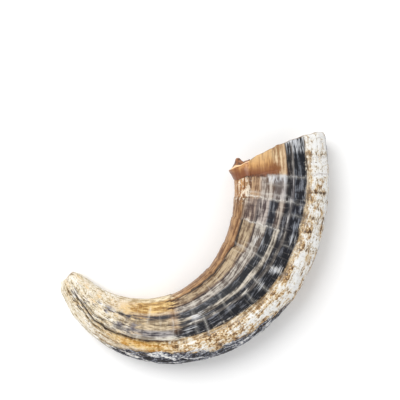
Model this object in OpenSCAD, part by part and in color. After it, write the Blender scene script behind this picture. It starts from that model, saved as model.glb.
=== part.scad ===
// A ram's horn blown as a shofar, lying on its side with its curl flat on the ground.
// The keratin sheath is a stack of cones, one for each year of growth: the first year's cone is
// the tip, and each later cone starts under the rim of the older one and ends nearer the mouth.
// Millimetres, +Z up, origin under the middle of the horn at the height of the ground.

/* [Horn] */
// Length of the centreline from the middle of the mouth to the tip
horn_length = 246; // [225:1:270]
// Width of the mouth, across the flat of the curl
mouth_width = 65.5; // [58:0.5:70]
// Thickness of the mouth as a share of its width
mouth_flatness = 0.62; // [0.56:0.01:0.7]
// Thickness of the tip as a share of its width
tip_flatness = 0.84; // [0.75:0.01:0.95]
// Length of the round end of the tip
tip_round = 11; // [9:0.5:14]

/* [Curl] */
// Direction in which the mouth's axis runs into the horn, in degrees from +X
mouth_heading = -85; // [-95:1:-75]
// Turn of the curl that grows evenly along the horn, in degrees
curl_even = 73.5; // [64:0.5:80]
// Turn that grows with the square of the distance, in degrees
curl_tightening = 129.5; // [120:0.5:140]
// Turn that the last stretch gives back, in degrees
curl_easing = 45.5; // [38:0.5:52]

/* [Mouth] */
// How far the rim runs on past the middle of the mouth on the outer side of the curl
rim_outer_reach = 13.5; // [8:0.5:18]
// How far the rim falls short of the middle of the mouth on the inner side
rim_inner_cut = 5; // [0:0.5:8]
// How far the middle of the rim bulges out of the straight line between those two
rim_bow = 5.8; // [2:0.1:7.5]
// Thickness of the wall at the rim
rim_wall = 3.2; // [2.6:0.1:4]

/* [Growth] */
// Height of the step where one year's cone ends on the next
growth_step = 0.5; // [0.3:0.1:0.7]
// Length of the tongue that runs on under the older cone
tongue = 11; // [9:1:12]
// Thickness of the bleached crust along the keel
crust_thickness = 0.9; // [0.7:0.1:1.5]
// How far the torn lip of the rim flares out
lip_flare = 3.6; // [2:0.2:5]

/* [Blow hole] */
// Radius of the drilled blow channel
channel_r = 2.6; // [2.2:0.1:3]
// Radius of the cup at the end of the tip
cup_r = 3.8; // [3.4:0.1:4.4]
// Depth of the cup
cup_depth = 3; // [2:0.5:5]

/* [Hidden] */

// Places along the horn are shares of its length: 0 is the rim and 1 is the tip.
// Where each year's cone has its rim, from the first year's to the newest, which is the mouth.
year_rim = [0.62, 0.43, 0.30, 0.19, 0.118, 0.047, 0];
// Rings of points on the outside of each cone
year_rings = [14, 8, 6, 5, 4, 4, 4];
// Where the natural hollow ends, and how bluntly
hollow_end = 0.79;
hollow_bluntness = 0.38;
// Where the crust ends, and the two edges of it round the section, in degrees
crust_end = 0.93;
crust_from = 120;
crust_to = 210;
// Thickness of the crust at those edges, and how soon it is at its full thickness
crust_edge = 0.45;
crust_rise = 4;
// The torn lip's edges round the section, in degrees
lip_from = -50;
lip_to = 50;
// Thickness left at the end of a tongue
tongue_end = 0.4;

sides = 36;
side_angle = 360 / sides;
cap_rings = 6;
tip_start = 1 - tip_round / horn_length;
tongue_share = tongue / horn_length;

function mix(a, b, f) = a + (b - a) * f;
function clamp01(x) = max(0, min(1, x));
function span(a, b, n) = [for (i = [0:n]) mix(a, b, i / n)];

// ---- Centreline, widths and section ----

function heading(t) = mouth_heading - curl_even * t - curl_tightening * t * t
                      + curl_easing * t * t * t;

path_start = -0.12;
path_steps = 140;
path_step = (1 - path_start) / path_steps;
function path_place(i) = path_start + i * path_step;
function path_move(i) = let (a = heading(path_place(i - 0.5)))
    horn_length * path_step * [cos(a), sin(a)];
path = [for (i = 0, p = [0, 0]; i <= path_steps; i = i + 1, p = p + path_move(i)) p];
path_x = [for (i = [0:path_steps]) [path_place(i), path[i][0]]];
path_y = [for (i = [0:path_steps]) [path_place(i), path[i][1]]];

// Half the width across the curl, and half the thickness, before the tip rounds off. The horn
// narrows by these shares of its width, with the square and the cube of the distance.
narrowing = 0.49;
late_narrowing = 0.27;
function half_width(t) = mouth_width / 2 * (1 - narrowing * t * t - late_narrowing * t * t * t);
function half_height(t) = half_width(t) * mix(mouth_flatness, tip_flatness, t);
tip_bluntness = 2.2;
function tip_cap(t) = let (q = clamp01((t - tip_start) / (1 - tip_start)))
    pow(1 - pow(q, tip_bluntness), 1 / tip_bluntness);

// The section is a squared oval: angle 0 is the inner side of the curl, 90 the top and 180 the keel.
inner_squareness = 2.4;
keel_squareness = 1.9;
function squareness(a) = mix(inner_squareness, keel_squareness, (1 - cos(a)) / 2);
function rounded(c, n) = sign(c) * pow(abs(c), 2 / n);
function section(a) = [-rounded(cos(a), squareness(a)), rounded(sin(a), squareness(a))];

// The rim is cut askew, and the growth lines behind it are askew too, less and less.
skew_reach = 0.07;
function rim_offset(a) = (mix(rim_inner_cut, -rim_outer_reach, (1 - cos(a)) / 2)
                          - rim_bow * sin(a) * sin(a)) / horn_length;
function along(place, a) = place + rim_offset(a) * exp(-max(place, 0) / skew_reach);

// A point at a place along the horn, an angle round it and a share of the way out to its surface
function raw_point(place, a, out) =
    let (t = along(place, a), dir = heading(t), s = section(a) * out * tip_cap(t),
         across = s[0] * half_width(t))
    [lookup(t, path_x) - sin(dir) * across,
     lookup(t, path_y) + cos(dir) * across,
     half_height(t) * (1 + s[1])];

// ---- Profiles: lists of [place, share of the way out] ----

function rim_share(place) = 1 - growth_step / half_width(place);
function hollow_share(place) = (1 - rim_wall / half_width(0))
    * pow(max(0, (hollow_end - place) / hollow_end), hollow_bluntness);
function hollow_line(places) = [for (p = places) [p, hollow_share(p)]];

// The outside of year k's cone, from its own rim to the older cone's
function outside(k) = let (a = year_rim[k], b = year_rim[k - 1])
    [for (p = span(a, b, year_rings[k])) [p, mix(1, rim_share(p), (p - a) / (b - a))]];
tip_outside = concat(
    [for (p = span(year_rim[0], tip_start, year_rings[0])) [p, 1]],
    [for (i = [1:cap_rings - 1]) [mix(tip_start, 1, sin(90 * i / cap_rings)), 1]],
    [[1, 0]]);

// The face between year k's cone and the tongue of the next year's, from the rim inwards
function joint_face(k) = [for (i = [0:3])
    let (p = year_rim[k] + tongue_share * i / 3)
    [p, mix(rim_share(p), hollow_share(p) + tongue_end / half_width(p), i / 3)]];
function tongue_place(k) = year_rim[k] + tongue_share;

function turned(rows) = [for (i = [0:len(rows[0]) - 1]) [for (r = rows) r[i]]];
function reversed(list) = [for (i = [len(list) - 1:-1:0]) list[i]];

// The closed profile of year k's cone: outside, tongue, hollow, and the socket for the next tongue
function cone_profile(k) = concat(
    outside(k),
    joint_face(k - 1),
    reversed(hollow_line(span(tongue_place(k), tongue_place(k - 1), year_rings[k]))),
    reversed(joint_face(k)));
mouth_rings = 7;
base_profile = let (k = len(year_rim) - 1) concat(
    outside(k),
    joint_face(k - 1),
    reversed(hollow_line(span(0, tongue_place(k - 1), mouth_rings))));

// The first year's profile runs from the end of the hollow, out round its rim, and on to the tip.
hollow_rings = 8;
tip_hollow = [for (i = [0:hollow_rings])
    let (p = mix(hollow_end, tongue_place(0), 1 - pow(1 - i / hollow_rings, 2)))
    [p, hollow_share(p)]];
tip_profile = concat(tip_hollow, reversed(joint_face(0)), tip_outside);

// Two places closer than this are one.
same_place = 1e-9;
function without_repeats(list) =
    [for (i = [0:len(list) - 1]) if (i == 0 || norm(list[i] - list[i - 1]) > same_place) list[i]];

// ---- Placing the horn's box over the origin ----

crust_places = concat(
    [for (k = [len(year_rim) - 1:-1:1]) each outside(k)],
    [for (q = tip_outside) if (q[0] < crust_end && q[1] > 0) q]);
function crust_depth(a) = let (f = (a - crust_from) / (crust_to - crust_from))
    mix(crust_edge, crust_thickness, clamp01(crust_rise * min(f, 1 - f)));
function crust_top(q, a) = raw_point(q[0], a, q[1] + crust_depth(a) / half_width(q[0]));

// The lip wraps the inner side of the base band: a wedge that flares out towards the rim. Its end
// runs on past the rim, furthest in one torn point on the upper side.
lip_edge_low = 0.97;
lip_edge_high = 1.03;
lip_crest = 0.002;
lip_foot = 0.4;
lip_sweep = 0.9;
lip_past_rim = 0.004;
lip_point_reach = 0.026;
lip_point_angle = 24;
lip_point_spread = 11;
function lip_edge(a) = -lip_past_rim
    - lip_point_reach * exp(-pow((a - lip_point_angle) / lip_point_spread, 2));
function lip_bulge(a) = pow(sin(180 * (a - lip_from) / (lip_to - lip_from)), 1.2);
lip_places = outside(len(year_rim) - 1);
lip_last = len(lip_places) - 1;
function lip_under(a) = concat([raw_point(lip_edge(a), a, lip_edge_low)],
                               [for (q = lip_places) raw_point(q[0], a, q[1])]);
function lip_over(a) = concat(
    [raw_point(lip_edge(a), a, lip_edge_high)],
    [for (i = [0:lip_last]) let (f = 1 - i / lip_last,
                                 p = mix(year_rim[len(year_rim) - 2], lip_crest, f))
        raw_point(p, a, 1 + mix(lip_foot, lip_flare, pow(f, lip_sweep) * lip_bulge(a))
                            / half_width(p))]);
lip_angles = [lip_from:side_angle:lip_to];

surface_points = concat(
    [for (q = tip_outside, a = [0:side_angle:359]) raw_point(q[0], a, q[1])],
    [for (q = crust_places, a = [0:side_angle:359]) raw_point(q[0], a, q[1])],
    [for (q = crust_places, a = [crust_from:side_angle:crust_to]) crust_top(q, a)],
    [for (a = lip_angles) each lip_over(a)]);
function middle(axis) = let (v = [for (p = surface_points) p[axis]]) (min(v) + max(v)) / 2;
centre = [middle(0), middle(1), 0];
function point(place, a, out) = raw_point(place, a, out) - centre;

// ---- Solids from profiles ----

// Two triangles for a patch. Its diagonal depends only on which end is further along, so that two
// cones that share a face split it the same way and meet without overlap.
function further(p, q) = q[0] > p[0] || (q[0] == p[0] && q[1] > p[1]);
function patch(a, b, b2, a2, along_way) = along_way ? [[a, b2, b], [a, a2, b2]]
                                                    : [[a, a2, b], [b, a2, b2]];

// A ring solid: its closed profile carried round the section
module ring_solid(profile) {
    n = len(profile);
    polyhedron(
        points = [for (q = profile, j = [0:sides - 1]) point(q[0], j * side_angle, q[1])],
        faces = [for (i = [0:n - 1], j = [0:sides - 1])
            let (i2 = (i + 1) % n, j2 = (j + 1) % sides)
            each patch(i * sides + j, i2 * sides + j, i2 * sides + j2, i * sides + j2,
                       further(profile[i], profile[i2]))]);
}

// A solid whose profile starts and ends on the centreline
module capped_solid(profile) {
    n = len(profile) - 2;
    first = n * sides;
    last = first + 1;
    polyhedron(
        points = concat(
            [for (i = [1:n], j = [0:sides - 1])
                point(profile[i][0], j * side_angle, profile[i][1])],
            [point(profile[0][0], 0, 0), point(profile[n + 1][0], 0, 0)]),
        faces = concat(
            [for (j = [0:sides - 1]) [first, (j + 1) % sides, j]],
            [for (i = [0:n - 2], j = [0:sides - 1])
                let (j2 = (j + 1) % sides)
                each patch(i * sides + j, (i + 1) * sides + j, (i + 1) * sides + j2,
                           i * sides + j2, further(profile[i + 1], profile[i + 2]))],
            [for (j = [0:sides - 1]) [last, (n - 1) * sides + j,
                                      (n - 1) * sides + (j + 1) % sides]]));
}

// A slab between two grids of points, low and high, each a list of rows along the horn
module slab(low, high, ups) {
    rows = len(low);
    cols = len(low[0]);
    top = rows * cols;
    polyhedron(
        points = concat([for (r = low) each r], [for (r = high) each r]),
        faces = concat(
            [for (i = [0:rows - 2], j = [0:cols - 2])
                let (a = i * cols + j, b = a + cols)
                each patch(top + a, top + b, top + b + 1, top + a + 1, ups[i])],
            [for (i = [0:rows - 2], j = [0:cols - 2])
                let (a = i * cols + j, b = a + cols)
                each [for (f = patch(a, b, b + 1, a + 1, ups[i])) [f[0], f[2], f[1]]]],
            [for (j = [0:cols - 2]) each patch(j, top + j, top + j + 1, j + 1, true)],
            [for (j = [0:cols - 2]) let (a = top - cols + j)
                each [for (f = patch(a, top + a, top + a + 1, a + 1, true)) [f[0], f[2], f[1]]]],
            [for (i = [0:rows - 2]) let (a = i * cols)
                each [[a, top + a, a + cols], [top + a, top + a + cols, a + cols]]],
            [for (i = [0:rows - 2]) let (a = i * cols + cols - 1)
                each [[a, a + cols, top + a], [top + a, a + cols, top + a + cols]]]));
}

// ---- The pieces ----

module growth_cone(k) {
    ring_solid(without_repeats(cone_profile(k)));
}

// The blow channel runs straight from the end of the hollow out through the tip.
channel_end = point(1, 0, 0);
channel_lead = 0.02;
channel_start = point(hollow_end - channel_lead, 0, 0);
channel_way = channel_end - channel_start;
channel_length = norm(channel_way);
bore_facets = 48;

module along_channel() {
    translate(channel_start)
        rotate([0, acos(channel_way[2] / channel_length), atan2(channel_way[1], channel_way[0])])
            children();
}

module blow_channel() {
    overrun = 10;
    start_in_hollow = 5;
    along_channel() {
        translate([0, 0, -start_in_hollow])
            cylinder(r = channel_r, h = start_in_hollow + channel_length, $fn = bore_facets);
        translate([0, 0, channel_length - cup_depth])
            cylinder(r1 = channel_r, r2 = cup_r, h = cup_depth, $fn = bore_facets);
        translate([0, 0, channel_length])
            cylinder(r = cup_r, h = overrun, $fn = bore_facets);
    }
}

module first_year_tip() {
    color([0.72, 0.64, 0.48])
        difference() {
            capped_solid(without_repeats(tip_profile));
            blow_channel();
        }
}

module second_year_cone() {
    color([0.50, 0.44, 0.36]) growth_cone(1);
}

module third_year_cone() {
    color([0.36, 0.33, 0.31]) growth_cone(2);
}

module fourth_year_cone() {
    color([0.42, 0.37, 0.33]) growth_cone(3);
}

module fifth_year_cone() {
    color([0.56, 0.47, 0.38]) growth_cone(4);
}

module sixth_year_cone() {
    color([0.60, 0.52, 0.42]) growth_cone(5);
}

module base_band() {
    color([0.62, 0.44, 0.24]) ring_solid(without_repeats(base_profile));
}

// The bleached layer that is still on the keel, from the rim to near the tip
module keel_crust() {
    angles = [crust_from:side_angle:crust_to];
    rows = len(crust_places);
    color([0.90, 0.83, 0.68])
        slab([for (q = crust_places) [for (a = angles) point(q[0], a, q[1])]],
             [for (q = crust_places) [for (a = angles) crust_top(q, a) - centre]],
             [for (i = [0:rows - 2]) further(crust_places[i], crust_places[i + 1])]);
}

// The torn lip at the inner corner of the rim
module rim_lip() {
    low = [for (a = lip_angles) [for (p = lip_under(a)) p - centre]];
    high = [for (a = lip_angles) [for (p = lip_over(a)) p - centre]];
    color([0.60, 0.36, 0.15]) slab(turned(low), turned(high), [for (p = lip_places) true]);
}

first_year_tip();
second_year_cone();
third_year_cone();
fourth_year_cone();
fifth_year_cone();
sixth_year_cone();
base_band();
keel_crust();
rim_lip();
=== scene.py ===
"""A ram's horn shofar lying on its side, its keratin cones, bleached keel and torn rim lip.

Every surface is one skin over the CAD model's own horn law, so each piece lies where its CAD
node lies. Lengths in the horn's law are millimetres; meshes are made in metres.
"""
import math

import bpy
import numpy as np
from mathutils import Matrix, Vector


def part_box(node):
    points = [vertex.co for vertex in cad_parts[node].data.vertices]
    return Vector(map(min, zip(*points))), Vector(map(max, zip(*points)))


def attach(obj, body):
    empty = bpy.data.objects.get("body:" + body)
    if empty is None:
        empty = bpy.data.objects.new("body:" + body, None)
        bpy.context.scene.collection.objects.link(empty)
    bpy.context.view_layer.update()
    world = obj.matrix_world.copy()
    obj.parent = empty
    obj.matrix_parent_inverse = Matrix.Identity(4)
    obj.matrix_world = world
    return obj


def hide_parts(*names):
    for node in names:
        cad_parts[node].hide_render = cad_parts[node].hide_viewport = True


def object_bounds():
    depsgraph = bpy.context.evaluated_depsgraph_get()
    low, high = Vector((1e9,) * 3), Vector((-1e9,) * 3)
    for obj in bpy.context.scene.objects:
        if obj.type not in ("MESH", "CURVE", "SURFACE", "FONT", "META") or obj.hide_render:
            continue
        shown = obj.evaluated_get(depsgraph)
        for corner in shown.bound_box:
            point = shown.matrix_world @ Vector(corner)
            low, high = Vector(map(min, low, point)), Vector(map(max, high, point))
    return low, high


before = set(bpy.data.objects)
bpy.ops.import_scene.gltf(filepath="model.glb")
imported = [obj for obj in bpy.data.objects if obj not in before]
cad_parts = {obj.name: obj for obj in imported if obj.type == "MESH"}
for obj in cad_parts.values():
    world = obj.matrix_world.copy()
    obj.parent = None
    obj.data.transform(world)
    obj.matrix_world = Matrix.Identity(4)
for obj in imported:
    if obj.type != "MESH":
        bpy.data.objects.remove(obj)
cad_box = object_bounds()
MM = 0.001

# ---------------------------------------------------------------------------------------------
# The horn's law, as in part.scad. A place is a share of the length: 0 the rim, 1 the tip.
# Angles run round the section: 0 the inner side of the curl, 90 the top, 180 the keel.
# ---------------------------------------------------------------------------------------------
LENGTH = 246
MOUTH_WIDTH = 65.5
NARROWING, LATE_NARROWING = 0.49, 0.27
FLATNESS_MOUTH, FLATNESS_TIP = 0.62, 0.84
MOUTH_HEADING, CURL_EVEN, CURL_TIGHTENING, CURL_EASING = -85, 73.5, 129.5, 45.5
SQUARENESS_INNER, SQUARENESS_KEEL = 2.4, 1.9
TIP_START, TIP_BLUNTNESS = 1 - 11 / LENGTH, 2.2
RIM_INNER_CUT, RIM_OUTER_REACH, RIM_BOW, SKEW_REACH = 5, 13.5, 5.8, 0.07
RIM_WALL, GROWTH_STEP, TONGUE, TONGUE_END = 3.2, 0.5, 11, 0.4
HOLLOW_END, HOLLOW_BLUNTNESS = 0.79, 0.38
YEAR_RIM = [0.62, 0.43, 0.30, 0.19, 0.118, 0.047, 0]
CONES = ["first_year_tip", "second_year_cone", "third_year_cone", "fourth_year_cone",
         "fifth_year_cone", "sixth_year_cone", "base_band"]
CRUST_END = 0.93
CHANNEL_R, CUP_R, CUP_DEPTH = 2.6, 3.8, 3
LIP_ANGLE, LIP_BACK, LIP_CREST, LIP_FOOT, LIP_FLARE, LIP_SWEEP = 50, 0.047, 0.002, 0.4, 3.6, 0.9
LIP_PAST_RIM, LIP_POINT_REACH, LIP_POINT_ANGLE, LIP_POINT_SPREAD = 0.004, 0.026, 24, 11


def mix(a, b, f):
    return a + (b - a) * f


def smooth(x, lo, hi):
    """0 below lo, 1 above hi, and a smooth rise between."""
    f = np.clip((x - lo) / (hi - lo), 0, 1)
    return f * f * (3 - 2 * f)


def heading(t):
    """Which way the centreline runs at t, in radians."""
    return np.radians(MOUTH_HEADING - CURL_EVEN * t - CURL_TIGHTENING * t ** 2
                      + CURL_EASING * t ** 3)


def half_width(t):
    return MOUTH_WIDTH / 2 * (1 - NARROWING * t ** 2 - LATE_NARROWING * t ** 3)


def half_height(t):
    return half_width(t) * mix(FLATNESS_MOUTH, FLATNESS_TIP, t)


def tip_cap(t):
    """How the section shrinks to nothing over the blunt tip."""
    q = np.clip((t - TIP_START) / (1 - TIP_START), 0, 1)
    return (1 - q ** TIP_BLUNTNESS) ** (1 / TIP_BLUNTNESS)


def section(angle):
    """Across and up on the squared oval, each from -1 to 1."""
    c, s = np.cos(angle), np.sin(angle)
    squareness = mix(SQUARENESS_INNER, SQUARENESS_KEEL, (1 - c) / 2)
    power = 2 / squareness
    return -np.sign(c) * np.abs(c) ** power, np.sign(s) * np.abs(s) ** power


def along(place, angle):
    """Where a place lies on the centreline: the rim and the growth lines near it are askew."""
    c = np.cos(angle)
    skew = mix(RIM_INNER_CUT, -RIM_OUTER_REACH, (1 - c) / 2) - RIM_BOW * np.sin(angle) ** 2
    return place + skew / LENGTH * np.exp(-np.maximum(place, 0) / SKEW_REACH)


# The centreline, added up in short steps. It starts before the rim, for the rim's keel side.
PATH_START, PATH_POINTS = -0.12, 561
path_t = np.linspace(PATH_START, 1, PATH_POINTS)
path_heading = heading((path_t[1:] + path_t[:-1]) / 2)
path_step = LENGTH * (path_t[1] - path_t[0])
path_x = np.concatenate([[0], np.cumsum(np.cos(path_heading)) * path_step])
path_y = np.concatenate([[0], np.cumsum(np.sin(path_heading)) * path_step])


def horn_point(place, angle, out, lift=0.0):
    """Points in millimetres, a share of the way out to the surface, and then lifted off it."""
    place, angle = np.broadcast_arrays(np.asarray(place, float), np.asarray(angle, float))
    t = along(place, angle)
    run = heading(t)
    across, up = section(angle)
    size = half_width(t)
    share = out * tip_cap(t) + lift / size
    across = across * share * size
    x = np.interp(t, path_t, path_x) - np.sin(run) * across
    y = np.interp(t, path_t, path_y) + np.cos(run) * across
    z = half_height(t) * (1 + up * share)
    return np.stack([x, y, np.maximum(z, 0)], axis=-1)


def hollow_share(place):
    """The hollow's size as a share of the section."""
    left = np.maximum(0, (HOLLOW_END - place) / HOLLOW_END)
    return (1 - RIM_WALL / half_width(0)) * left ** HOLLOW_BLUNTNESS


def rim_share(place):
    """The size of a cone where it comes out from under the older one's rim."""
    return 1 - GROWTH_STEP / half_width(place)


# The law's own frame starts at the rim, so it is moved to where the CAD model's tip lies.
tip_low = np.array(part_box("first_year_tip")[0]) / MM
turn = np.radians(np.arange(0, 360, 10))
tip_skin = horn_point(np.linspace(YEAR_RIM[0], 1, 200)[:, None], turn[None, :], 1.0)
ORIGIN = tip_skin.reshape(-1, 3).min(axis=0) - tip_low
ORIGIN[2] = 0


# ---------------------------------------------------------------------------------------------
# Relief: smooth lattice noise and the horn's own grooves, cracks and growth lines
# ---------------------------------------------------------------------------------------------
def lattice(ix, iy, iz, seed):
    """A repeatable value from -1 to 1 for each point of a whole-number lattice."""
    h = (ix * 374761393 + iy * 668265263 + iz * 2147483647 + seed * 974634777) & 0xFFFFFFFF
    h = ((h ^ (h >> 13)) * 1274126177) & 0xFFFFFFFF
    h = h ^ (h >> 16)
    return (h & 0xFFFF) / 32767.5 - 1


def noise(p, scale, seed):
    """Smooth noise from -1 to 1 at points p, with a scale for each axis."""
    q = p * np.asarray(scale, float)
    cell = np.floor(q).astype(np.int64)
    f = q - cell
    f = f * f * (3 - 2 * f)
    total = 0.0
    for dx in (0, 1):
        wx = f[..., 0] if dx else 1 - f[..., 0]
        for dy in (0, 1):
            wy = f[..., 1] if dy else 1 - f[..., 1]
            for dz in (0, 1):
                wz = f[..., 2] if dz else 1 - f[..., 2]
                total = total + wx * wy * wz * lattice(cell[..., 0] + dx, cell[..., 1] + dy,
                                                       cell[..., 2] + dz, seed)
    return total


def octaves(p, scale, count, seed):
    """Noise at count scales, each twice as fine and half as strong as the last."""
    scale = np.asarray(scale, float)
    return sum(noise(p, scale * 2 ** i, seed + 17 * i) * 0.5 ** i for i in range(count))


def straight(place, angle):
    """The horn pulled straight: centimetres along it, across and up. Grain runs along x."""
    t = along(place, angle)
    across, up = section(angle)
    size = half_width(t) / 10
    return np.stack([t * LENGTH / 10, across * size,
                     up * half_height(t) / 10 + np.zeros_like(t)], axis=-1)


def across_share(angle):
    """0 on the inner side, 1 on the keel."""
    return (1 + section(angle)[0]) / 2


def band_shift(t):
    """How far the bands drift towards the inner side on the way to the tip."""
    return np.interp(t, [0, 0.12, 0.3, 0.45, 0.62, 1], [-0.05, -0.04, 0, 0.085, 0.12, 0.12])


def band(t, u):
    """The band coordinate, which the coloured bands run along: 0 the inner side, 1 the keel."""
    return u + band_shift(t) * 4 * u * (1 - u)


def groove(x, centre, width):
    return np.exp(-((x - centre) / width) ** 2)


SPLIT_DEPTH, PIT_DEPTH = 1.1, 0.6
# Lengthwise grooves by the inner side, and low ridges along the pale bands:
# (place across the bands, width, height in millimetres)
LONG_LINES = [(0.098, 0.011, -0.55), (0.237, 0.008, -0.4), (0.465, 0.02, 0.3),
              (0.556, 0.012, 0.25)]


def relief(place, angle):
    """Height of the skin's detail, in millimetres."""
    t = along(place, angle)
    p = straight(place, angle)
    u = across_share(angle)
    v = band(t, u) + 0.006 * noise(p, (0.8, 0.8, 0.8), 3)
    keel = smooth(v, 0.72, 0.8)
    tip = smooth(t + 0.03 * noise(p, (1.5, 2, 2), 5), 0.74, 0.88)
    grain = octaves(p, (0.35, 6, 6), 3, 11)
    rings = octaves(p, (3.2, 0.3, 0.3), 3, 23)
    waves = noise(p, (1.1, 0.12, 0.12), 27)
    lumps = octaves(p, (0.5, 0.8, 0.8), 2, 31)
    rough = octaves(p, (4, 7, 7), 3, 41)
    young = 1 - smooth(t, 0.55, 0.72)
    height = 0.22 * lumps + 0.10 * grain + (0.10 * rings + 0.16 * waves) * (0.4 + 0.6 * young)
    height = height + 0.18 * rough * np.maximum(keel, tip)
    reach = smooth(t, 0.1, 0.2) * (1 - smooth(t, 0.66, 0.74))
    for centre, width, rise in LONG_LINES:
        height = height + reach * rise * groove(v, centre, width)
    # Flaked pits in the pale tip
    pits = smooth(octaves(p, (1.6, 3.2, 3.2), 3, 71), 0.35, 0.7) * tip
    return height - SPLIT_DEPTH * split(place, angle) - PIT_DEPTH * pits


def split_line(t):
    """Where the long split lies across the horn, from the first year's rim to the tip."""
    return np.interp(t, [0.62, 0.69, 0.754, 0.80, 0.85, 0.90, 0.94],
                     [0.63, 0.63, 0.67, 0.69, 0.675, 0.60, 0.585])


def split(place, angle):
    """How deep the lengthwise splits of the first year's cone are, from 0 to 1."""
    t = along(place, angle)
    p = straight(place, angle)
    u = across_share(angle)
    line = split_line(t) + 0.012 * noise(p, (2.2, 0, 0), 57)
    shallow = 0.35 + 0.65 * smooth(t, 0.74, 0.80)
    deep = shallow * groove(u, line, mix(0.014, 0.024, smooth(t, 0.72, 0.86)))
    second = groove(u, line + 0.085 + 0.02 * noise(p, (1.5, 0, 0), 59), 0.018)
    third = groove(u, line - 0.10 + 0.03 * noise(p, (1.1, 0, 0), 60), 0.014)
    old = smooth(t, 0.80, 0.84)
    above = smooth(p[..., 2], -0.1, 0.3)
    broken = smooth(noise(p, (1.8, 4, 4), 61), -0.6, -0.1)
    ends = smooth(t, 0.625, 0.65) * (1 - smooth(t, 0.93, 0.955))
    return np.clip(deep + old * broken * (0.8 * second + 0.6 * third), 0, 1) * above * ends


def wobble(place, angle):
    """How far a growth line or the rim strays along the horn, as a share of its length."""
    p = straight(place, angle)
    ragged = 1.0 * noise(p, (0.6, 0.9, 0.9), 83) + 0.45 * noise(p, (2, 4, 4), 89)
    calm = 1 - smooth(place, 0.66, 0.74)
    return ragged * calm / LENGTH


# ---------------------------------------------------------------------------------------------
# Meshes from rows of points
# ---------------------------------------------------------------------------------------------
COLUMNS = 288
ANGLES = np.radians(np.arange(COLUMNS) * 360 / COLUMNS)
RING_STEP = 0.62 / LENGTH
SHARP_EDGE = math.radians(50)


def skin_rings(places, shares, lifted=True):
    """Rings on the surface: (positions, places, angles) with one row for each place."""
    place = np.asarray(places, float)[:, None] + 0 * ANGLES[None, :]
    angle = 0 * place + ANGLES[None, :]
    share = np.asarray(shares, float)[:, None]
    strayed = place + wobble(place, angle)
    lift = relief(strayed, angle) if lifted else 0.0
    return horn_point(strayed, angle, share, lift), strayed, angle


def row_quads(count, columns, looped):
    """Quads between rows that close round, with the last row joined to the first if looped."""
    i = np.arange(count if looped else count - 1)[:, None]
    j = np.arange(columns)[None, :]
    i2, j2 = (i + 1) % count, (j + 1) % columns
    return np.stack([i * columns + j, i * columns + j2,
                     i2 * columns + j2, i2 * columns + j], axis=-1).reshape(-1, 4)


def add_object(name, data):
    made = bpy.data.objects.new(name, data)
    bpy.context.collection.objects.link(made)
    return made


def make_piece(name, position, faces, place, angle, hollow, slot):
    """A piece in its node's place: its mesh, its attributes for the colours, and its slot."""
    mesh = bpy.data.meshes.new(name + "_skin")
    verts = ((position - ORIGIN) * MM).reshape(-1, 3)
    mesh.from_pydata(verts.tolist(), [], faces.tolist())
    mesh.validate()
    mesh.polygons.foreach_set("use_smooth", [True] * len(mesh.polygons))
    mesh.set_sharp_from_angle(angle=SHARP_EDGE)
    place, angle, hollow = place.ravel(), angle.ravel(), hollow.ravel()
    t = along(place, angle)
    u = across_share(angle)
    where = np.stack([t, band(t, u), u], axis=-1)
    for label, values in (("straight", straight(place, angle)), ("place", where)):
        data = mesh.attributes.new(label, "FLOAT_VECTOR", "POINT").data
        data.foreach_set("vector", values.astype(np.float32).ravel())
    cracked = np.where(hollow > 0, 0, split(place, angle))
    for label, values in (("hollow", hollow), ("split", cracked)):
        data = mesh.attributes.new(label, "FLOAT", "POINT").data
        data.foreach_set("value", values.astype(np.float32))
    mesh.update()
    piece = add_object(name + "_skin", mesh)
    mesh.materials.append(materials[slot])
    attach(piece, "root")
    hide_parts(name)


def ring_piece(name, rows, slot):
    """A cone from rows of (position, place, angle, hollow mark), joined in one loop."""
    position, place, angle = (np.concatenate([row[n] for row in rows]) for n in range(3))
    hollow = np.concatenate([np.full(row[1].shape, row[3], float) for row in rows])
    faces = row_quads(*place.shape, looped=True)
    make_piece(name, position, faces, place, angle, hollow, slot)


def slab_piece(name, low, high, place, angle, hollow, slot):
    """A thin layer with a top and an underside, closed at both ends."""
    def round_it(top, under):
        return np.concatenate([top, under[:, ::-1]], axis=1)
    places = round_it(place, place)
    count, columns = places.shape
    c = np.arange(columns // 2 - 1)
    first = np.stack([c, columns - 1 - c, columns - 2 - c, c + 1], axis=-1)
    last = (first + (count - 1) * columns)[:, ::-1]
    faces = np.concatenate([row_quads(count, columns, looped=False), first, last])
    make_piece(name, round_it(high, low), faces, places, round_it(angle, angle),
               round_it(hollow, hollow), slot)


# ---------------------------------------------------------------------------------------------
# Materials
# ---------------------------------------------------------------------------------------------
STUDIO_GAIN = 1.18


def colour(r, g, b):
    """An opaque colour from screen values of 0 to 255, as the studio's light will show it."""
    def linear(c):
        c = c / 255
        value = c / 12.92 if c <= 0.04045 else ((c + 0.055) / 1.055) ** 2.4
        return value / STUDIO_GAIN
    return (linear(r), linear(g), linear(b), 1)


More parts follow.
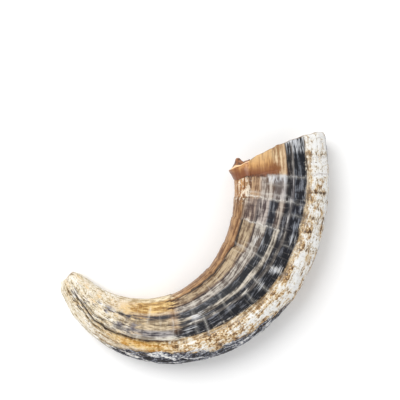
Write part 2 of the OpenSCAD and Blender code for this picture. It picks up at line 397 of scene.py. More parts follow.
class Graph:
    """Short calls that add nodes to a tree and return their output sockets."""

    def __init__(self, tree):
        self.tree = tree

    def node(self, kind, **settings):
        made = self.tree.nodes.new(kind)
        for key, value in settings.items():
            setattr(made, key, value)
        return made

    def put(self, socket, value):
        if isinstance(value, bpy.types.NodeSocket):
            self.tree.links.new(value, socket)
        else:
            socket.default_value = value

    def math(self, operation, a, b):
        made = self.node("ShaderNodeMath", operation=operation)
        self.put(made.inputs[0], a)
        self.put(made.inputs[1], b)
        return made.outputs[0]

    def add(self, *terms):
        total = terms[0]
        for term in terms[1:]:
            total = self.math("ADD", total, term)
        return total

    def times(self, *terms):
        total = terms[0]
        for term in terms[1:]:
            total = self.math("MULTIPLY", total, term)
        return total

    def around(self, value, amount):
        """How far a value from 0 to 1 lies off its middle, times an amount."""
        return self.times(self.add(value, -0.5), amount)

    def attribute(self, name, output):
        return self.node("ShaderNodeAttribute", attribute_name=name).outputs[output]

    def place(self):
        """The sockets of t, v and u: along the horn, across its bands and across its width."""
        parts = self.node("ShaderNodeSeparateXYZ")
        self.put(parts.inputs[0], self.attribute("place", "Vector"))
        return parts.outputs

    def noise(self, vector, scales, detail=3.0, roughness=0.55, offset=0.0):
        """Noise from 0 to 1 on the vector stretched by scales."""
        stretch = self.node("ShaderNodeVectorMath", operation="MULTIPLY_ADD")
        self.put(stretch.inputs[0], vector)
        stretch.inputs[1].default_value = scales
        stretch.inputs[2].default_value = (offset, 1.7 * offset, 2.3 * offset)
        made = self.node("ShaderNodeTexNoise", noise_dimensions="3D")
        self.put(made.inputs["Vector"], stretch.outputs[0])
        made.inputs["Scale"].default_value = 1.0
        made.inputs["Detail"].default_value = detail
        made.inputs["Roughness"].default_value = roughness
        return made.outputs["Fac"]

    def fade(self, value, lo, hi, to_lo=0.0, to_hi=1.0):
        """Smooth step of a value from lo to hi."""
        made = self.node("ShaderNodeMapRange", interpolation_type="SMOOTHSTEP", clamp=True)
        self.put(made.inputs["Value"], value)
        made.inputs["From Min"].default_value = lo
        made.inputs["From Max"].default_value = hi
        made.inputs["To Min"].default_value = to_lo
        made.inputs["To Max"].default_value = to_hi
        return made.outputs[0]

    def window(self, value, lo, hi, soft):
        """1 between lo and hi, and 0 outside."""
        rise = self.fade(value, lo - soft, lo + soft)
        fall = self.fade(value, hi - soft, hi + soft, 1.0, 0.0)
        return self.times(rise, fall)

    def steps(self, value, stops, interpolation="LINEAR"):
        """A ramp between numbers or opaque colours, from (position, what it is there) stops."""
        made = self.node("ShaderNodeValToRGB")
        made.color_ramp.interpolation = interpolation
        elements = made.color_ramp.elements
        while len(elements) < len(stops):
            elements.new(0.5)
        for element, (position, stop) in zip(elements, stops):
            element.position = position
            element.color = stop if isinstance(stop, tuple) else (stop, stop, stop, 1)
        self.put(made.inputs["Fac"], value)
        return made.outputs["Color"]

    def ramp(self, value, stops):
        """A ramp of screen colours."""
        return self.steps(value, [(position, colour(*rgb)) for position, rgb in stops])

    def mix(self, share, a, b):
        made = self.node("ShaderNodeMix", data_type="RGBA")
        self.put(made.inputs[0], share)
        self.put(made.inputs[6], a)
        self.put(made.inputs[7], b)
        return made.outputs[2]

    def paint(self, skin, rgb, *shares):
        """The skin with a screen colour laid over it, as much as the shares' product says."""
        return self.mix(self.times(*shares), skin, colour(*rgb))

    def bump(self, height, strength, depth):
        made = self.node("ShaderNodeBump")
        made.inputs["Strength"].default_value = strength
        made.inputs["Distance"].default_value = depth
        self.put(made.inputs["Height"], height)
        return made.outputs["Normal"]


# Each band is (from, to, its darkest colour, its lightest), by the band coordinate: 0 on the inner
# side of the curl, 1 on the keel.
INNER_STRIP = (0.000, 0.082, (112, 74, 44), (182, 142, 100))
CRUST = (0.760, 1.000, (150, 118, 80), (255, 251, 240))
BASE_BANDS = [
    (0.000, 0.09, (112, 64, 26), (192, 134, 72)),
    (0.13, 0.34, (128, 76, 34), (222, 170, 106)),
    (0.40, 0.485, (146, 100, 58), (238, 212, 174)),
    (0.502, 0.546, (24, 22, 24), (118, 110, 104)),
    (0.558, 0.570, (120, 114, 110), (206, 202, 198)),
    (0.584, 0.708, (18, 21, 28), (112, 116, 124)),
    (0.730, 0.742, (130, 108, 82), (214, 196, 168)),
    CRUST]
CROSSED_BANDS = [
    (0.000, 0.082, (140, 92, 52), (214, 166, 112)),
    (0.11, 0.22, (104, 68, 40), (186, 152, 116)),
    (0.25, 0.35, (92, 70, 56), (194, 182, 170)),
    (0.38, 0.47, (96, 84, 80), (196, 188, 184)),
    (0.502, 0.546, (28, 26, 30), (140, 138, 140)),
    (0.558, 0.570, (104, 100, 102), (196, 194, 194)),
    (0.584, 0.708, (20, 22, 30), (140, 144, 154)),
    (0.730, 0.742, (130, 110, 88), (220, 206, 184)),
    CRUST]
PLUM_BANDS = [
    INNER_STRIP,
    (0.094, 0.105, (44, 32, 26), (124, 98, 76)),
    (0.115, 0.215, (78, 58, 52), (170, 150, 134)),
    (0.226, 0.242, (38, 30, 32), (112, 98, 92)),
    (0.256, 0.340, (70, 54, 54), (186, 174, 166)),
    (0.356, 0.415, (20, 22, 32), (118, 120, 126)),
    (0.430, 0.482, (84, 70, 64), (188, 174, 160)),
    (0.500, 0.546, (24, 24, 30), (116, 116, 122)),
    (0.558, 0.572, (96, 92, 92), (192, 188, 186)),
    (0.590, 0.706, (20, 22, 32), (136, 140, 150)),
    (0.730, 0.742, (132, 110, 84), (218, 200, 170)),
    CRUST]
MIDDLE_BANDS = [
    INNER_STRIP,
    (0.090, 0.108, (28, 20, 18), (96, 76, 60)),
    (0.117, 0.220, (104, 78, 54), (190, 168, 136)),
    (0.230, 0.246, (42, 30, 30), (120, 98, 84)),
    (0.256, 0.342, (88, 74, 66), (196, 188, 176)),
    (0.362, 0.432, (20, 22, 28), (110, 112, 118)),
    (0.444, 0.490, (78, 70, 62), (212, 202, 186)),
    (0.503, 0.532, (26, 26, 32), (120, 120, 124)),
    (0.546, 0.566, (88, 82, 78), (208, 202, 192)),
    (0.580, 0.706, (18, 20, 27), (122, 124, 132)),
    (0.726, 0.740, (120, 94, 64), (216, 190, 148)),
    CRUST]
TIP_BANDS = [
    (0.000, 0.060, (176, 148, 104), (246, 232, 198)),
    (0.085, 0.118, (150, 112, 66), (214, 176, 112)),
    (0.140, 0.270, (166, 124, 64), (242, 210, 146)),
    (0.305, 0.330, (150, 122, 92), (218, 196, 162)),
    (0.345, 0.390, (34, 28, 34), (140, 124, 112)),
    (0.420, 0.570, (132, 112, 84), (226, 206, 172)),
    (0.610, 0.680, (66, 62, 68), (172, 166, 164)),
    (0.700, 0.730, (150, 138, 122), (226, 220, 208)),
    (0.742, 0.756, (32, 20, 14), (96, 66, 42)),
    (0.785, 0.850, (200, 144, 54), (254, 224, 156)),
    (0.880, 1.000, (140, 110, 72), (252, 242, 218))]

# Growth lines where the skin is pale: (place, from and to across the bands, strength)
PALE_LINES = [
    (0.050, 0.30, 0.74, 0.60), (0.074, 0.28, 0.50, 0.35), (0.104, 0.12, 0.52, 0.50),
    (0.118, 0.09, 0.58, 0.90), (0.118, 0.60, 0.74, 0.40),
    (0.150, 0.58, 0.74, 0.40), (0.200, 0.12, 0.50, 0.90), (0.230, 0.56, 0.74, 0.50),
    (0.288, 0.10, 0.46, 0.45), (0.296, 0.56, 0.76, 0.85), (0.350, 0.48, 0.75, 0.65),
    (0.395, 0.56, 0.70, 0.45), (0.460, 0.30, 0.62, 0.30), (0.532, 0.50, 0.76, 0.80),
    (0.560, 0.36, 0.70, 0.40), (0.625, 0.40, 0.74, 0.55), (0.705, 0.16, 0.46, 0.50)]

# Worn pale patches on the dark bands: (place, half length, across, half width, strength)
WORN_PATCHES = [
    (-0.035, 0.020, 0.620, 0.10, 0.80),
    (0.058, 0.009, 0.400, 0.095, 0.75), (0.214, 0.012, 0.655, 0.05, 0.50),
    (0.300, 0.011, 0.650, 0.06, 0.90), (0.245, 0.014, 0.330, 0.05, 0.45),
    (0.355, 0.012, 0.600, 0.05, 0.60), (0.545, 0.022, 0.470, 0.035, 0.95),
    (0.575, 0.018, 0.640, 0.035, 0.65)]

# Brown growth lines across the crust: (place, strength)
CRUST_LINES = [(-0.014, 0.95), (0.024, 0.40), (0.082, 0.85), (0.100, 0.65), (0.142, 0.90),
               (0.163, 0.75), (0.212, 0.60), (0.262, 0.45)]

# Where each year's bands start, and how far they are set to one side, with 0.5 for not at all
YEAR_STEPS = [(0.0, 0.50), (0.118, 0.525), (0.194, 0.48), (0.296, 0.515),
              (0.350, 0.49), (0.46, 0.505), (0.532, 0.485), (0.625, 0.50)]

# The share of the width past which the keel still has its dark skin, from place to place
KEEL_SKIN_EDGE = [(0.33, 1.0), (0.385, 0.925), (0.44, 0.895), (0.50, 0.875), (0.55, 0.865),
                  (0.60, 0.810), (0.67, 0.770), (0.74, 0.83), (0.80, 0.93), (0.95, 0.99)]

# The base band's red-brown, which also serves as painted shade towards the band's lower edge
EDGE_BROWN_AND_SHADE = (118, 60, 24)


class Skin:
    """Where a point of the skin lies and what grain it has, as sockets to make colours from."""

    def __init__(self, g):
        self.g = g
        self.t, self.v, self.u = g.place()
        # Streaks and scratches run along the horn, and growth striae across it.
        space = g.attribute("straight", "Vector")
        self.streak = g.noise(space, (0.40, 6, 6), detail=3, roughness=0.6)
        self.scratch = g.noise(space, (1.1, 14, 14), detail=2, offset=5)
        self.striae = g.noise(space, (4.2, 0.55, 0.55), detail=3, roughness=0.6, offset=9)
        self.patch = g.noise(space, (1.3, 2.0, 2.0), detail=3, offset=13)
        self.speck = g.noise(space, (7, 9, 9), detail=3, roughness=0.6, offset=17)
        self.fleck = g.noise(space, (1.5, 3.4, 3.4), detail=6, roughness=0.76, offset=21)
        self.region = g.noise(space, (0.45, 0.9, 0.9), detail=2, offset=25)

        # Places along the horn and across its bands, made ragged
        self.t_rough = self.varied(self.t, patch=0.014, fleck=0.006)
        self.t_line = g.add(self.varied(self.t, patch=0.014, fleck=0.004),
                            g.around(self.v, -0.020))
        year_step = g.steps(self.t_rough, YEAR_STEPS, "CONSTANT")
        self.v_rough = self.varied(g.add(self.v, g.around(year_step, 0.30)),
                                   patch=0.034, streak=0.045, scratch=0.020)
        self.in_dark = g.add(g.window(self.v_rough, 0.355, 0.437, 0.010),
                             g.window(self.v_rough, 0.495, 0.712, 0.010))
        crust_v = self.varied(self.v_rough, scratch=0.06, fleck=0.24, striae=0.06, speck=0.09)
        self.on_crust = g.fade(crust_v, 0.704, 0.784)

    def varied(self, value, **amounts):
        """A value with noises added to it, each as strong as its amount."""
        noises = [self.g.around(getattr(self, name), amount) for name, amount in amounts.items()]
        return self.g.add(value, *noises)


def banded(g, s, bands, light):
    """The bands' dark colours mixed with their light ones."""
    darks, lights = [], []
    for start, end, dark, pale in bands:
        darks += [(start, dark), (end, dark)]
        lights += [(start, pale), (end, pale)]
    return g.mix(light, g.ramp(s.v_rough, darks), g.ramp(s.v_rough, lights))


def year_bands(g, s):
    """The bands of each zone from the rim to the tip. Dark ones show fewer light streaks."""
    pale_grain = g.fade(s.varied(0.5, streak=0.95, scratch=0.65, striae=0.12, patch=0.65,
                                 fleck=0.30), 0.34, 0.68)
    dark_grain = g.fade(s.varied(0.5, streak=0.75, scratch=1.05, striae=0.16, patch=1.00,
                                 fleck=0.70), 0.48, 0.83)
    smooth_grain = g.fade(s.varied(0.5, streak=0.90, scratch=0.35, striae=0.15, patch=0.70,
                                   fleck=0.10), 0.22, 0.74)
    light = g.mix(s.in_dark, pale_grain, dark_grain)
    skin = banded(g, s, BASE_BANDS, g.mix(s.in_dark, smooth_grain, dark_grain))
    for bands, start, end in ((CROSSED_BANDS, 0.045, 0.049), (PLUM_BANDS, 0.112, 0.122),
                              (MIDDLE_BANDS, 0.186, 0.202)):
        skin = g.mix(g.fade(s.t_rough, start, end), skin, banded(g, s, bands, light))
    ragged_end = s.varied(s.t_rough, streak=0.16, scratch=0.08, fleck=0.04)
    return g.mix(g.fade(ragged_end, 0.600, 0.640), skin, banded(g, s, TIP_BANDS, pale_grain))


def growth_bars(g, s, skin):
    """Soft bars across the bands, some darker and some paler."""
    off_crust = g.times(g.fade(s.v_rough, 0.70, 0.76, 1.0, 0.15), g.fade(s.v_rough, 0.09, 0.14))
    off_base = g.fade(s.t_rough, 0.045, 0.055)
    on_pale = g.add(1.0, g.times(s.in_dark, -0.6))
    skin = g.paint(skin, (52, 42, 38), g.fade(s.striae, 0.45, 0.33), off_crust, off_base, 0.26)
    return g.paint(skin, (214, 208, 198), g.fade(s.striae, 0.56, 0.68), off_crust, off_base,
                   on_pale, 0.20)


def band_edges(g, s, skin):
    """The base band's red-brown edge, darkened as painted shade, its pale rim as a painted
    highlight, the painted shadow under its edge, and the brown step on the first cone.
    """
    # Red-brown colour towards the band's lower edge, darkened there as painted shade
    red_edge_and_shade = g.times(g.fade(s.t_rough, 0.004, 0.038), g.fade(s.t_rough, 0.046, 0.050, 1.0, 0.0),
                       g.fade(s.v_rough, 0.30, 0.56, 1.0, 0.0))
    skin = g.paint(skin, EDGE_BROWN_AND_SHADE, red_edge_and_shade, 0.9)
    # Painted highlight: a pale band along the rim, where the light falls on the top of the base
    # band
    streaked = g.fade(s.streak, 0.35, 0.60, 0.4, 1.0)
    painted_rim_highlight = g.times(g.fade(s.t_rough, 0.016, -0.020), g.fade(s.t_rough, -0.05, 0.0, 0.5, 1.0),
                       g.fade(s.v_rough, 0.42, 0.50, 1.0, 0.0), streaked)
    skin = g.paint(skin, (218, 200, 158), painted_rim_highlight, 0.40)
    # Painted shadow: a dark brown line on the older cone just under the base band's edge
    painted_edge_shadow = g.times(g.window(s.t_rough, 0.041, 0.050, 0.004),
                         g.window(s.v_rough, -0.3, 0.44, 0.05), g.fade(s.fleck, 0.40, 0.55))
    skin = g.paint(skin, (62, 34, 18), painted_edge_shadow, 0.8)
    brown_step = g.times(g.window(s.t_rough, 0.612, 0.630, 0.016),
                         g.window(s.v_rough, 0.22, 0.62, 0.08),
                         g.fade(s.streak, 0.35, 0.60, 0.3, 1.0))
    return g.paint(skin, (160, 112, 62), brown_step, 0.68)


def lip_flakes(g, s, skin):
    """White and brown flakes on the inner strip, by the lip."""
    flaky = g.times(g.window(s.t_rough, 0.052, 0.135, 0.012),
                    g.window(s.v_rough, 0.02, 0.13, 0.03))
    scales = s.varied(s.fleck, fleck=0.8, speck=0.5, scratch=0.3)
    skin = g.paint(skin, (240, 228, 208), flaky, g.fade(scales, 0.50, 0.64), 0.85)
    return g.paint(skin, (92, 60, 40), flaky, g.fade(scales, 0.44, 0.34), 0.60)


def worn_patches(g, s, skin):
    """Worn pale patches, scratched along the grain."""
    scratches = g.fade(s.varied(s.scratch, streak=0.8, patch=0.5), 0.40, 0.62)
    for place, reach, across, spread, strength in WORN_PATCHES:
        spot = g.times(g.window(s.t_rough, place - reach, place + reach, 0.008),
                       g.window(s.v_rough, across - spread, across + spread, 0.025))
        skin = g.paint(skin, (222, 224, 228), spot, scratches, strength)
    return skin


def pale_lines(g, s, skin):
    """Pale growth lines, with a soft side and broken up along their length."""
    halo_reach, core_reach = 0.004, 0.0014
    faint_on_dark = g.add(1.0, g.times(s.in_dark, -0.3))
    broken = g.fade(s.varied(s.speck, fleck=0.8), 0.36, 0.54)
    for place, start, end, strength in PALE_LINES:
        across = g.times(g.window(s.v_rough, start, end, 0.04), faint_on_dark)
        halo = g.times(g.window(s.t_line, place - halo_reach, place + halo_reach, halo_reach),
                       across, g.fade(s.fleck, 0.40, 0.60, 0.15, 0.50 * strength))
        core = g.times(g.window(s.t_line, place - core_reach, place + core_reach, 0.0018),
                       across, broken, strength)
        skin = g.paint(skin, (226, 222, 214), g.math("MAXIMUM", halo, core))
    return skin


def crust(g, s, skin):
    """The crust on the keel: white, cream and gold-brown, with growth lines and dark specks."""
    whiter = g.add(g.fade(s.t, 0.02, 0.12, 0.16, 0.0), g.around(g.fade(s.u, 0.70, 0.95), 0.14),
                   g.fade(s.t, 0.55, 0.70, 0.0, -0.10))
    inner_border = g.fade(s.v_rough, 0.745, 0.83, 0.16, 0.0)
    stained = g.add(s.varied(s.patch, fleck=0.9, streak=0.3, region=0.6), whiter,
                    g.times(inner_border, -1.0))
    grain = g.add(s.varied(0.50, fleck=1.1, speck=1.25, striae=0.90, patch=0.6, scratch=0.15,
                           region=0.3), g.times(inner_border, -0.5), g.times(whiter, 0.45))
    for place, strength in CRUST_LINES:
        line = g.window(s.t_line, place - 0.004, place + 0.004, 0.008)
        grain = g.add(grain, g.times(line, -0.26 * strength))
    white = g.ramp(grain, [(0.18, (84, 70, 60)), (0.29, (160, 138, 112)), (0.38, (216, 202, 178)),
                           (0.48, (244, 238, 226)), (0.60, (255, 255, 253))])
    gold = g.ramp(grain, [(0.20, (78, 56, 38)), (0.33, (158, 118, 74)), (0.45, (214, 178, 126)),
                          (0.57, (242, 226, 194)), (0.70, (254, 249, 237))])
    layer = g.mix(g.fade(stained, 0.42, 0.62), gold, white)
    crossed = g.times(g.fade(s.striae, 0.56, 0.66), g.fade(s.speck, 0.40, 0.55))
    layer = g.paint(layer, (134, 100, 66), crossed, g.fade(s.t, 0.24, 0.34, 0.45, 0.12))
    layer = g.paint(layer, (66, 58, 56), g.fade(s.speck, 0.41, 0.34),
                    g.fade(s.fleck, 0.56, 0.46), 0.7)
    return g.mix(g.times(s.on_crust, g.fade(s.t_rough, 0.58, 0.72, 0.95, 0.30)), skin, layer)


def keel_skin(g, s, skin):
    """The blue-black flaky skin that is left on the keel from the middle to the tip."""
    ragged = s.varied(s.u, fleck=0.24, streak=0.14, patch=0.12, speck=0.06)
    past_edge = g.math("SUBTRACT", ragged, g.steps(s.t, KEEL_SKIN_EDGE))
    grain = s.varied(0.5, fleck=1.5, streak=0.2, speck=0.6, patch=0.4, scratch=0.3)
    dark = g.ramp(grain, [(0.37, (14, 16, 24)), (0.46, (34, 39, 54)), (0.53, (84, 90, 108)),
                          (0.59, (168, 170, 178)), (0.67, (246, 244, 240))])
    return g.mix(g.times(g.fade(past_edge, -0.012, 0.014), 0.96), skin, dark)


def pale_tip(g, s, skin):
    """The worn tip: cream and white, with ochre patches, blue-grey streaks and dark cracks."""
    grain = s.varied(0.49, fleck=0.9, speck=0.6, streak=0.6)
    pale = g.ramp(grain, [(0.24, (78, 64, 52)), (0.34, (164, 142, 110)), (0.43, (216, 202, 172)),
                          (0.53, (242, 234, 216)), (0.66, (255, 253, 248))])
    worn = g.fade(s.varied(s.t, patch=0.20, fleck=0.10, streak=0.16), 0.74, 0.86)
    skin = g.mix(g.times(worn, 0.93), skin, pale)
    ochre = g.times(g.fade(s.varied(s.streak, patch=0.7, fleck=0.5), 0.50, 0.66),
                    g.window(s.t, 0.70, 0.99, 0.03),
                    g.add(g.window(s.v, 0.66, 0.92, 0.10), g.window(s.v, 0.10, 0.50, 0.12)))
    skin = g.paint(skin, (218, 174, 92), ochre, 0.62)
    blue_grey = g.times(g.fade(s.varied(s.streak, patch=-0.7, scratch=0.5), 0.53, 0.62),
                        g.window(s.t, 0.72, 0.94, 0.03), g.window(s.v, 0.34, 0.72, 0.08))
    skin = g.paint(skin, (112, 112, 128), blue_grey, 0.72)
    cracks = g.times(g.fade(s.varied(s.scratch, streak=0.9), 0.61, 0.67),
                     g.window(s.t, 0.72, 0.98, 0.03), g.window(s.v, 0.38, 0.90, 0.06))
    skin = g.paint(skin, (58, 40, 28), cracks, 0.85)
    return g.paint(skin, (40, 26, 18), g.attribute("split", "Fac"))


def hollow_wall(g, s, skin):
    """The wall's cut edge at the rim, the joints and the hollow inside."""
    inside = g.ramp(s.varied(s.streak, patch=0.6), [
        (0.30, (70, 50, 34)), (0.5, (136, 106, 72)), (0.7, (188, 162, 120))])
    return g.mix(g.attribute("hollow", "Fac"), skin, inside)


def horn_pattern():
    """The node group that colours the horn's skin from its place on the horn."""
    tree = bpy.data.node_groups.new("horn_pattern", "ShaderNodeTree")
    for label, kind in (("Colour", "NodeSocketColor"), ("Height", "NodeSocketFloat"),
                        ("Roughness", "NodeSocketFloat")):
        tree.interface.new_socket(name=label, in_out="OUTPUT", socket_type=kind)
    g = Graph(tree)
    s = Skin(g)
    skin = year_bands(g, s)
    for layer in (growth_bars, band_edges, lip_flakes, worn_patches, pale_lines, crust,
                  keel_skin, pale_tip, hollow_wall):
        skin = layer(g, s, skin)
    height = g.add(g.times(s.streak, 0.5), g.times(s.scratch, 0.4), g.times(s.striae, 0.4),
                   g.times(s.fleck, g.add(g.times(s.on_crust, 0.7), 0.3)))
    rough = g.add(0.44, g.times(s.on_crust, 0.25), g.around(s.patch, 0.25),
                  g.times(g.fade(s.t, 0.6, 0.85), 0.2))
    out = g.node("NodeGroupOutput")
    g.put(out.inputs["Colour"], skin)
    g.put(out.inputs["Height"], height)
    g.put(out.inputs["Roughness"], rough)
    return tree


def new_material(name):
    """A material and its shader."""
    material = bpy.data.materials.new(name)
    material.use_nodes = True
    return material, material.node_tree.nodes["Principled BSDF"]


def horn_material(name, pattern):
    """A horn skin with the shared pattern."""
    material, shader = new_material(name)
    g = Graph(material.node_tree)
    group = g.node("ShaderNodeGroup", node_tree=pattern)
    g.put(shader.inputs["Base Color"], group.outputs["Colour"])
    g.put(shader.inputs["Roughness"], group.outputs["Roughness"])
    g.put(shader.inputs["Normal"], g.bump(group.outputs["Height"], 0.55, 0.0004))
    shader.inputs["Specular IOR Level"].default_value = 0.25
    return material


def lip_material(name):
    """Honey-brown horn, with a thin pale cut edge where it is torn, brightened as a painted
    highlight, and a darker brown face behind that, deepened as painted shade.
    """
    material, shader = new_material(name)
    g = Graph(material.node_tree)
    space = g.attribute("straight", "Vector")
    streak = g.noise(space, (0.40, 6, 6), detail=3, roughness=0.6)
    patch = g.noise(space, (4, 4, 4), detail=3, offset=4)
    tint = g.ramp(g.add(g.times(streak, 0.5), g.times(patch, 0.5)), [
        (0.34, (130, 76, 34)), (0.5, (186, 126, 68)), (0.62, (224, 172, 108))])
    # Red-brown colour towards the lip's lower edge, darkened there as painted shade, as on the
    # base band
    tint = g.paint(tint, EDGE_BROWN_AND_SHADE, g.fade(g.place()[0], 0.004, 0.040, 0.0, 0.9))
    torn = g.attribute("hollow", "Fac")
    # The pale cut edge, brightened as a painted highlight
    tint = g.paint(tint, (248, 210, 164), g.fade(torn, 0.10, 0.35))
    # The torn face behind the edge: darker brown, deepened as painted shade
    face = g.ramp(patch, [(0.38, (84, 48, 26)), (0.62, (158, 100, 56))])
    g.put(shader.inputs["Base Color"], g.mix(g.fade(torn, 0.58, 0.66), tint, face))
    g.put(shader.inputs["Normal"], g.bump(streak, 0.4, 0.0003))
    shader.inputs["Roughness"].default_value = 0.38
    return material


pattern = horn_pattern()
materials = {slot: horn_material(slot, pattern)
             for slot in ("tip_horn", "banded_horn", "base_horn", "bleached_crust")}
materials["lip_horn"] = lip_material("lip_horn")

# ---------------------------------------------------------------------------------------------
# The growth cones
# ---------------------------------------------------------------------------------------------
# How much a row shows of the hollow's colour: the skin nothing, and the hollow all of it
ON_SKIN, ON_JOINT, ON_CHANNEL, ON_RIM, IN_HOLLOW = 0.0, 0.4, 0.7, 0.75, 1.0
CORNER_REACH, CORNER_DROP = 0.6, 0.25
JOINT_RINGS, HOLLOW_STEP = 7, 2.5


def outside_places(k):
    """The places of year k's rings, from its own rim to the older one's."""
    start, end = YEAR_RIM[k], YEAR_RIM[k - 1]
    count = max(2, round((end - start) / RING_STEP))
    return np.linspace(start, end, count + 1)


def cone_shares(k):
    """Year k's size at those places. It sinks a little on the way to the older rim."""
    places = outside_places(k)
    start, end = YEAR_RIM[k], YEAR_RIM[k - 1]
    return mix(1, rim_share(end), ((places - start) / (end - start)) ** 2)


def rim_corner(places):
    """How much of the section the rounded corner of a cone's rim takes off, from its rim on."""
    corner = np.clip(1 - (places - places[0]) * LENGTH / CORNER_REACH, 0, 1)
    return CORNER_DROP * corner ** 2 / half_width(places[0])


def cone_outside(k):
    places = outside_places(k)
    return skin_rings(places, cone_shares(k) - rim_corner(places)) + (ON_SKIN,)


def joint_rows(k):
    """The face between year k's cone and the tongue of the next, from the rim inwards."""
    f = np.linspace(0, 1, JOINT_RINGS)
    places = YEAR_RIM[k] + TONGUE / LENGTH * f
    ends = hollow_share(places[-1]) + TONGUE_END / half_width(places[-1])
    shares = mix(rim_share(places[0]), ends, f)
    position, place, angle = skin_rings(places, shares, lifted=False)
    position[0] = skin_rings(places[:1], shares[:1])[0][0]
    return position, place, angle, ON_JOINT


def hollow_rows(start, end):
    count = max(3, round((end - start) * LENGTH / HOLLOW_STEP))
    places = np.linspace(start, end, count + 1)
    return skin_rings(places, hollow_share(places), lifted=False) + (IN_HOLLOW,)


def rim_face():
    """The wall's cut edge, from the hollow out to the skin."""
    shares = mix(hollow_share(0), 1, np.linspace(0.12, 0.86, 5))
    places = np.full(5, 0.0) - 0.35 / LENGTH
    return skin_rings(places, shares, lifted=False) + (ON_RIM,)


def tongue_place(k):
    return YEAR_RIM[k] + TONGUE / LENGTH


def after_first(rows):
    """Rows without the first, which the rows before them already have."""
    return rows[0][1:], rows[1][1:], rows[2][1:], rows[3]


def turned_back(rows):
    """Rows in the other direction, without the one they now start from."""
    return after_first((rows[0][::-1], rows[1][::-1], rows[2][::-1], rows[3]))


def build_cones():
    newest = len(CONES) - 1
    for k in range(1, len(CONES)):
        at_rim = k == newest
        inner_start = 0 if at_rim else tongue_place(k)
        inner = turned_back(hollow_rows(inner_start, tongue_place(k - 1)))
        closing = rim_face() if at_rim else turned_back(joint_rows(k))
        rows = [cone_outside(k), after_first(joint_rows(k - 1)), inner, closing]
        ring_piece(CONES[k], rows, "base_horn" if at_rim else "banded_horn")


def channel_ring(ring, depth, radius, tip_end, way):
    """A ring round the blow channel's axis that keeps each point's direction from the axis."""
    off = ring - tip_end
    off = off - (off @ way)[:, None] * way
    return tip_end - way * depth + off / np.linalg.norm(off, axis=1)[:, None] * radius


def build_tip():
    """The first year's cone, with its pale blunt tip and the drilled blow channel."""
    body = np.arange(YEAR_RIM[0], TIP_START, RING_STEP)
    cap = mix(TIP_START, 1, np.sin(np.radians(np.linspace(0, 84, 30))))
    places = np.concatenate([body, cap])
    outer = skin_rings(places, 1 - rim_corner(places))

    tip_end = horn_point(1.0, 0.0, 0.0)
    hollow_centre = horn_point(HOLLOW_END - 0.02, 0.0, 0.0)
    reach = np.linalg.norm(tip_end - hollow_centre)
    way = (tip_end - hollow_centre) / reach

    # Outer rings that would lie over the cup are left out.
    off = outer[0] - tip_end
    distance = np.linalg.norm(off - (off @ way)[..., None] * way, axis=-1)
    keep = (distance.min(axis=1) > CUP_R + 0.5) | (places < TIP_START)
    outer = tuple(part[keep] for part in outer) + (ON_SKIN,)
    edge_ring, edge_angle = outer[0][-1], outer[2][-1]
    edge_depth = float((-(edge_ring - tip_end) @ way).mean())

    # The cup's rounded edge and its wall, and then the channel, as (depth, radius)
    steps = [(edge_depth - 0.25, CUP_R + 0.15), (edge_depth + 0.2, CUP_R - 0.1),
             (edge_depth + 1.0, CUP_R - 0.3), (CUP_DEPTH, CHANNEL_R + 0.15),
             (CUP_DEPTH + 0.5, CHANNEL_R)]
    steps += [(d, CHANNEL_R) for d in np.arange(CUP_DEPTH + 3, reach - 3, 4)]
    rings = np.stack([channel_ring(edge_ring, d, r, tip_end, way) for d, r in steps])
    ring_places = np.array([mix(1.0, HOLLOW_END, min(1, d / reach)) for d, _ in steps])
    ring_places = ring_places[:, None] + 0 * edge_angle[None, :]
    channel = (rings, ring_places, np.broadcast_to(edge_angle, ring_places.shape), ON_CHANNEL)

    f = np.linspace(0.14, 1, 12)
    inner_places = mix(HOLLOW_END, tongue_place(0), f ** 2)
    inner = skin_rings(inner_places, hollow_share(inner_places), lifted=False) + (IN_HOLLOW,)
    ring_piece("first_year_tip", [outer, channel, inner, turned_back(joint_rows(0))], "tip_horn")


# ---------------------------------------------------------------------------------------------
# The crust on the keel and the torn lip
# ---------------------------------------------------------------------------------------------
SLAB_COLUMNS = 97
# The crust's ragged upper and lower edges: (places, angles round the section in degrees)
CRUST_UPPER = ([0, 0.3, 0.45, 0.62, 0.8, CRUST_END], [121, 120, 113, 111, 122, 150])
CRUST_LOWER = ([0, 0.8, CRUST_END], [208, 208, 190])
CRUST_THICKNESS, CRUST_UNEVEN, CRUST_LEAST = 0.55, 0.22, 0.12
LIP_ROWS, LIP_CREST_ROW, LIP_EDGE, LIP_END_FADE, LIP_LEAST = 44, 0.72, 0.9, 9, 0.06


def crust_edge(places, edge, seed):
    """An edge of the crust, in radians, by place."""
    line = np.stack([places * LENGTH / 10, 0 * places, 0 * places], axis=-1)
    return np.radians(np.interp(places, *edge) + 4 * octaves(line, (0.8, 1, 1), 4, seed))


def build_crust():
    """The bleached layer on the keel, which follows the steps of the cones under it."""
    grown = range(len(CONES) - 1, 0, -1)
    first = np.arange(YEAR_RIM[0], CRUST_END, RING_STEP)
    places = np.concatenate([outside_places(k) for k in grown] + [first])
    shares = np.concatenate([cone_shares(k) for k in grown] + [np.ones(len(first))])[:, None]
    f = np.linspace(0, 1, SLAB_COLUMNS)[None, :]
    angle = mix(crust_edge(places, CRUST_UPPER, 101)[:, None],
                crust_edge(places, CRUST_LOWER, 103)[:, None], f)
    place = places[:, None] + 0 * f
    strayed = place + wobble(place, angle)
    ground = relief(strayed, angle)
    p = straight(strayed, angle)
    edge = np.minimum(smooth(f, 0, 0.06), smooth(1 - f, 0, 0.06))
    ends = smooth(place, 0, 0.004) * (1 - smooth(place, CRUST_END - 0.03, CRUST_END))
    uneven = CRUST_THICKNESS + CRUST_UNEVEN * octaves(p, (2.5, 4, 4), 3, 109)
    thickness = CRUST_LEAST + edge * ends * uneven
    low = horn_point(strayed, angle, shares, ground)
    high = horn_point(strayed, angle, shares, ground + thickness)
    slab_piece("keel_crust", low, high, strayed, angle, 0 * place, "bleached_crust")


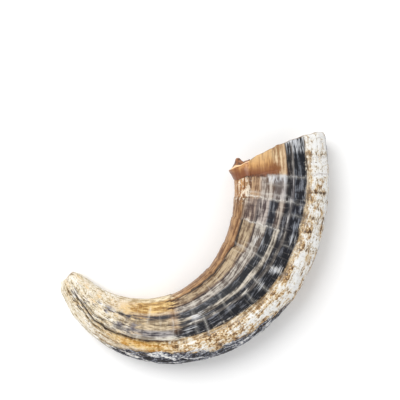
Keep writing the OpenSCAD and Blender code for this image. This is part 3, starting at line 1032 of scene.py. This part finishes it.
def build_lip():
    """The torn lip: a wedge that flares out towards the rim and runs past it in one point."""
    f = np.linspace(0, 1, LIP_ROWS)[:, None]
    degrees = np.linspace(-LIP_ANGLE, LIP_ANGLE, SLAB_COLUMNS)[None, :] + 0 * f
    angle = np.radians(degrees)
    bulge = np.sin(np.radians(90) * (degrees + LIP_ANGLE) / LIP_ANGLE) ** 1.2
    point = np.exp(-((degrees - LIP_POINT_ANGLE) / LIP_POINT_SPREAD) ** 2)
    edge_place = -LIP_PAST_RIM - LIP_POINT_REACH * point
    rise = np.clip(f / LIP_CREST_ROW, 0, 1)
    fall = smooth(f, LIP_CREST_ROW, 1.0)
    place_low = mix(LIP_BACK, mix(0.0, edge_place, fall), rise)
    place_top = mix(mix(LIP_BACK, LIP_CREST, rise), edge_place, fall)
    lift = mix(mix(LIP_FOOT, LIP_FLARE, rise ** LIP_SWEEP * bulge), LIP_EDGE, fall)
    lift = mix(lift, 0.0, smooth(np.abs(degrees), LIP_ANGLE - LIP_END_FADE, LIP_ANGLE))
    strayed_low = place_low + wobble(np.maximum(place_low, 0), angle)
    strayed_top = place_top + wobble(np.maximum(place_top, 0), angle)
    p = straight(strayed_top, angle)
    chips = 0.30 * octaves(p, (3, 3, 3), 3, 131) * rise * (1 - 0.6 * fall) * np.minimum(lift, 1)
    low = horn_point(strayed_low, angle, 1 - 0.03 * fall, relief(strayed_low, angle) - 0.05)
    high = horn_point(strayed_top, angle, 1 - 0.015 * fall,
                      relief(strayed_top, angle) + np.maximum(lift + chips, LIP_LEAST))
    # Marked by how far down the torn end a point lies: 0 on the skin, and then over its edge
    torn = smooth(f, LIP_CREST_ROW - 0.01, LIP_CREST_ROW + 0.01) * mix(0.5, 1.0, fall) + 0 * angle
    # Rows run from the rim to the back, as on the cones.
    slab_piece("rim_lip", low[::-1], high[::-1], strayed_top[::-1], angle[::-1], torn[::-1],
               "lip_horn")


build_cones()
build_tip()
build_crust()
build_lip()

# ---------------------------------------------------------------------------------------------
# Floor, light and camera
# ---------------------------------------------------------------------------------------------
low, high = (Vector(corner) for corner in cad_box)
middle = (low + high) / 2
FLOOR_HALF = 3.0
SKY, KEY_POWER, KEY_SIZE, KEY_FROM = 0.80, 12, 0.9, Vector((-0.55, 0.50, 1.10))
# The view from straight above is 280 mm wide, and the horn lies low in it.
VIEW_WIDTH, FOCAL, SENSOR, CAMERA_SHIFT = 0.280, 100.0, 36.0, Vector((0.0045, 0.0344, 0))


def make_floor():
    mesh = bpy.data.meshes.new("floor")
    corners = [(-1, -1), (1, -1), (1, 1), (-1, 1)]
    mesh.from_pydata([(x * FLOOR_HALF, y * FLOOR_HALF, 0) for x, y in corners], [], [(0, 1, 2, 3)])
    floor = add_object("floor", mesh)
    material, shader = new_material("floor")
    shader.inputs["Base Color"].default_value = (0.92, 0.92, 0.92, 1)
    shader.inputs["Roughness"].default_value = 0.9
    shader.inputs["Specular IOR Level"].default_value = 0.0
    mesh.materials.append(material)
    floor.location.z = low.z


def make_lights():
    """A white sky all round, and one large soft lamp from behind on the left."""
    world = bpy.data.worlds.new("studio")
    bpy.context.scene.world = world
    world.use_nodes = True
    sky = world.node_tree.nodes["Background"]
    sky.inputs["Color"].default_value = (1, 1, 1, 1)
    sky.inputs["Strength"].default_value = SKY
    data = bpy.data.lights.new("key", "AREA")
    data.shape = "DISK"
    data.size = KEY_SIZE
    data.energy = KEY_POWER
    key = add_object("key", data)
    key.location = middle + KEY_FROM
    key.rotation_euler = (middle - key.location).to_track_quat("-Z", "Y").to_euler()


def make_camera():
    data = bpy.data.cameras.new("camera")
    data.lens = FOCAL
    data.sensor_width = SENSOR
    camera = add_object("camera", data)
    camera.location = middle + CAMERA_SHIFT + Vector((0, 0, VIEW_WIDTH * FOCAL / SENSOR))
    bpy.context.scene.camera = camera


make_floor()
make_lights()
make_camera()
bpy.context.scene.view_settings.view_transform = "Standard"
